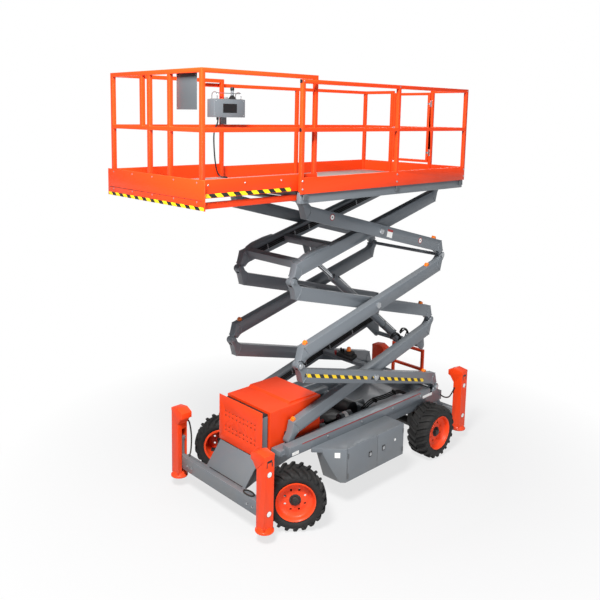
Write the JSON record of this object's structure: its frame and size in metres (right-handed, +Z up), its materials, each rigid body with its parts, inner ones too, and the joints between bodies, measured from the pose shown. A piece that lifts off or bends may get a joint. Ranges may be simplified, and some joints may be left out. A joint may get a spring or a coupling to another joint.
{
  "type": "scissor lift",
  "caption": "Self-propelled rough-terrain scissor lift with a raised platform, its deck extension out, outriggers just off the ground and the front wheels steered.",
  "frame": {"origin": "on the ground at the middle of the lowest scissor level's pins, on the machine's centre line", "axes": "+X is the machine's front, where the deck extends; +Y is its left; +Z is up"},
  "size_m": [4.448, 2.0842, 4.6541],
  "materials": {
    "orange": "semi-gloss orange paint",
    "grey": "semi-gloss grey paint",
    "dark": "satin black paint",
    "rubber": "matte moulded rubber",
    "steel": "polished hard chrome"
  },
  "bodies": {
    "chassis": {"chassis_frame": "grey", "front_bumper": "grey", "rear_beam": "grey", "front_axle": "dark", "rear_axle": "dark", "engine_block": "dark", "radiator": "dark", "front_panel": "orange", "rear_guard": "orange", "cabinet_left": "grey", "cabinet_right": "grey", "power_unit": "dark"},
    "knuckle_left": {"knuckle_left": "dark"},
    "knuckle_right": {"knuckle_right": "dark"},
    "arms_outer_1": {"arm_outer_1": "grey"},
    "arms_inner_1": {"arm_inner_1": "grey"},
    "arms_outer_2": {"arm_outer_2": "grey"},
    "arms_inner_2": {"arm_inner_2": "grey"},
    "arms_outer_3": {"arm_outer_3": "grey"},
    "arms_inner_3": {"arm_inner_3": "grey"},
    "platform": {"platform_deck": "grey", "platform_rails": "orange"},
    "lift_barrel": {"lift_barrel": "grey"},
    "lift_rod": {"lift_rod": "steel"},
    "extension": {"extension_deck": "orange", "extension_rails": "orange", "control_box": "grey", "document_plate": "grey"},
    "gate": {"gate": "orange"},
    "hood": {"hood": "orange"},
    "wheel_front_left": {"tyre_front_left": "rubber", "rim_front_left": "orange"},
    "leg_front_left": {"leg_front_left": "orange"},
    "wheel_front_right": {"tyre_front_right": "rubber", "rim_front_right": "orange"},
    "leg_front_right": {"leg_front_right": "orange"},
    "wheel_rear_left": {"tyre_rear_left": "rubber", "rim_rear_left": "orange"},
    "leg_rear_left": {"leg_rear_left": "orange"},
    "wheel_rear_right": {"tyre_rear_right": "rubber", "rim_rear_right": "orange"},
    "leg_rear_right": {"leg_rear_right": "orange"},
    "door_front_left": {"door_front_left": "grey"},
    "door_rear_left": {"door_rear_left": "grey"},
    "door_front_right": {"door_front_right": "grey"},
    "door_rear_right": {"door_rear_right": "grey"}
  },
  "joints": [
    {"name": "steer_left", "type": "hinge", "parent": "chassis", "child": "knuckle_left", "pos_m": [1.36, 0.61, 0.33], "axis": [0, 0, 1], "range_deg": [-4, 80]},
    {"name": "steer_right", "type": "hinge", "parent": "chassis", "child": "knuckle_right", "pos_m": [1.36, -0.61, 0.33], "axis": [0, 0, 1], "range_deg": [-4.5, 83.5]},
    {"name": "wheel_front_left_spin", "type": "hinge", "parent": "knuckle_left", "child": "wheel_front_left", "pos_m": [1.45543, 0.73214, 0.33], "axis": [0.6157, 0.788, 0], "continuous": true},
    {"name": "wheel_front_right_spin", "type": "hinge", "parent": "knuckle_right", "child": "wheel_front_right", "pos_m": [1.2504, -0.7196, 0.33], "axis": [0.7071, 0.7071, 0], "continuous": true},
    {"name": "wheel_rear_left_spin", "type": "hinge", "parent": "chassis", "child": "wheel_rear_left", "pos_m": [-0.958, 0.744, 0.33], "axis": [0, 1, 0], "continuous": true},
    {"name": "wheel_rear_right_spin", "type": "hinge", "parent": "chassis", "child": "wheel_rear_right", "pos_m": [-0.958, -0.744, 0.33], "axis": [0, 1, 0], "continuous": true},
    {"name": "scissor_lift", "type": "hinge", "parent": "chassis", "child": "arms_outer_1", "pos_m": [-1.2616, 0, 0.7825], "axis": [0, -1, 0], "range_deg": [-14.5, 45.9]},
    {"name": "scissor_centre_1", "type": "hinge", "parent": "arms_outer_1", "child": "arms_inner_1", "pos_m": [0.00038, 0, 1.2195], "axis": [0, -1, 0], "range_deg": [-92.2, 29.4]},
    {"name": "scissor_end_1", "type": "hinge", "parent": "arms_outer_1", "child": "arms_outer_2", "pos_m": [1.26236, 0, 1.6565], "axis": [0, -1, 0], "range_deg": [-92.2, 29.4]},
    {"name": "scissor_centre_2", "type": "hinge", "parent": "arms_outer_2", "child": "arms_inner_2", "pos_m": [0.00038, 0, 2.0935], "axis": [0, -1, 0], "range_deg": [-29.4, 92.2]},
    {"name": "scissor_end_2", "type": "hinge", "parent": "arms_outer_2", "child": "arms_outer_3", "pos_m": [-1.2616, 0, 2.5305], "axis": [0, -1, 0], "range_deg": [-29.4, 92.2]},
    {"name": "scissor_centre_3", "type": "hinge", "parent": "arms_outer_3", "child": "arms_inner_3", "pos_m": [0.00038, 0, 2.9675], "axis": [0, -1, 0], "range_deg": [-92.2, 29.4]},
    {"name": "platform_level", "type": "hinge", "parent": "arms_inner_3", "child": "platform", "pos_m": [-1.2616, 0, 3.4045], "axis": [0, -1, 0], "range_deg": [-14.7, 46.1]},
    {"name": "lift_barrel_swing", "type": "hinge", "parent": "arms_inner_1", "child": "lift_barrel", "pos_m": [-1.2, 0, 1.29], "axis": [0, -1, 0], "range_deg": [-27.95, 87.61]},
    {"name": "lift_rod_slide", "type": "slide", "parent": "lift_barrel", "child": "lift_rod", "axis": [0.7899, 0, 0.6133], "range_m": [-0.372, 1.1666]},
    {"name": "extension_slide", "type": "slide", "parent": "platform", "child": "extension", "axis": [1, 0, 0], "range_m": [-1.144, 0]},
    {"name": "gate_swing", "type": "hinge", "parent": "platform", "child": "gate", "pos_m": [-1.2702, 0.2855, 4.1285], "axis": [0, 0, 1], "range_deg": [0, 95]},
    {"name": "hood_lift", "type": "hinge", "parent": "chassis", "child": "hood", "pos_m": [0.7, 0, 0.7003], "axis": [0, -1, 0], "range_deg": [0, 55]},
    {"name": "door_front_left_swing", "type": "hinge", "parent": "chassis", "child": "door_front_left", "pos_m": [0.795, 0.88, 0.5], "axis": [0, 0, -1], "range_deg": [0, 100]},
    {"name": "door_rear_left_swing", "type": "hinge", "parent": "chassis", "child": "door_rear_left", "pos_m": [-0.2, 0.88, 0.5], "axis": [0, 0, 1], "range_deg": [0, 100]},
    {"name": "door_front_right_swing", "type": "hinge", "parent": "chassis", "child": "door_front_right", "pos_m": [0.795, -0.88, 0.5], "axis": [0, 0, 1], "range_deg": [0, 100]},
    {"name": "door_rear_right_swing", "type": "hinge", "parent": "chassis", "child": "door_rear_right", "pos_m": [-0.2, -0.88, 0.5], "axis": [0, 0, -1], "range_deg": [0, 100]},
    {"name": "leg_front_left_slide", "type": "slide", "parent": "chassis", "child": "leg_front_left", "axis": [0, 0, 1], "range_m": [-0.25, 0.03]},
    {"name": "leg_front_right_slide", "type": "slide", "parent": "chassis", "child": "leg_front_right", "axis": [0, 0, 1], "range_m": [-0.25, 0.03]},
    {"name": "leg_rear_left_slide", "type": "slide", "parent": "chassis", "child": "leg_rear_left", "axis": [0, 0, 1], "range_m": [-0.25, 0.03]},
    {"name": "leg_rear_right_slide", "type": "slide", "parent": "chassis", "child": "leg_rear_right", "axis": [0, 0, 1], "range_m": [-0.25, 0.03]}
  ],
  "couplings": [
    {"joint": "steer_right", "follows": "steer_left", "ratio": 1.0375},
    {"joint": "scissor_centre_1", "follows": "scissor_lift", "ratio": -2},
    {"joint": "scissor_end_1", "follows": "scissor_lift", "ratio": -2},
    {"joint": "scissor_centre_2", "follows": "scissor_lift", "ratio": 2},
    {"joint": "scissor_end_2", "follows": "scissor_lift", "ratio": 2},
    {"joint": "scissor_centre_3", "follows": "scissor_lift", "ratio": -2},
    {"joint": "platform_level", "follows": "scissor_lift", "ratio": 1},
    {"joint": "lift_barrel_swing", "follows": "scissor_lift", "ratio": 1.9},
    {"joint": "lift_rod_slide", "follows": "scissor_lift", "m_per_rad": 1.45}
  ]
}
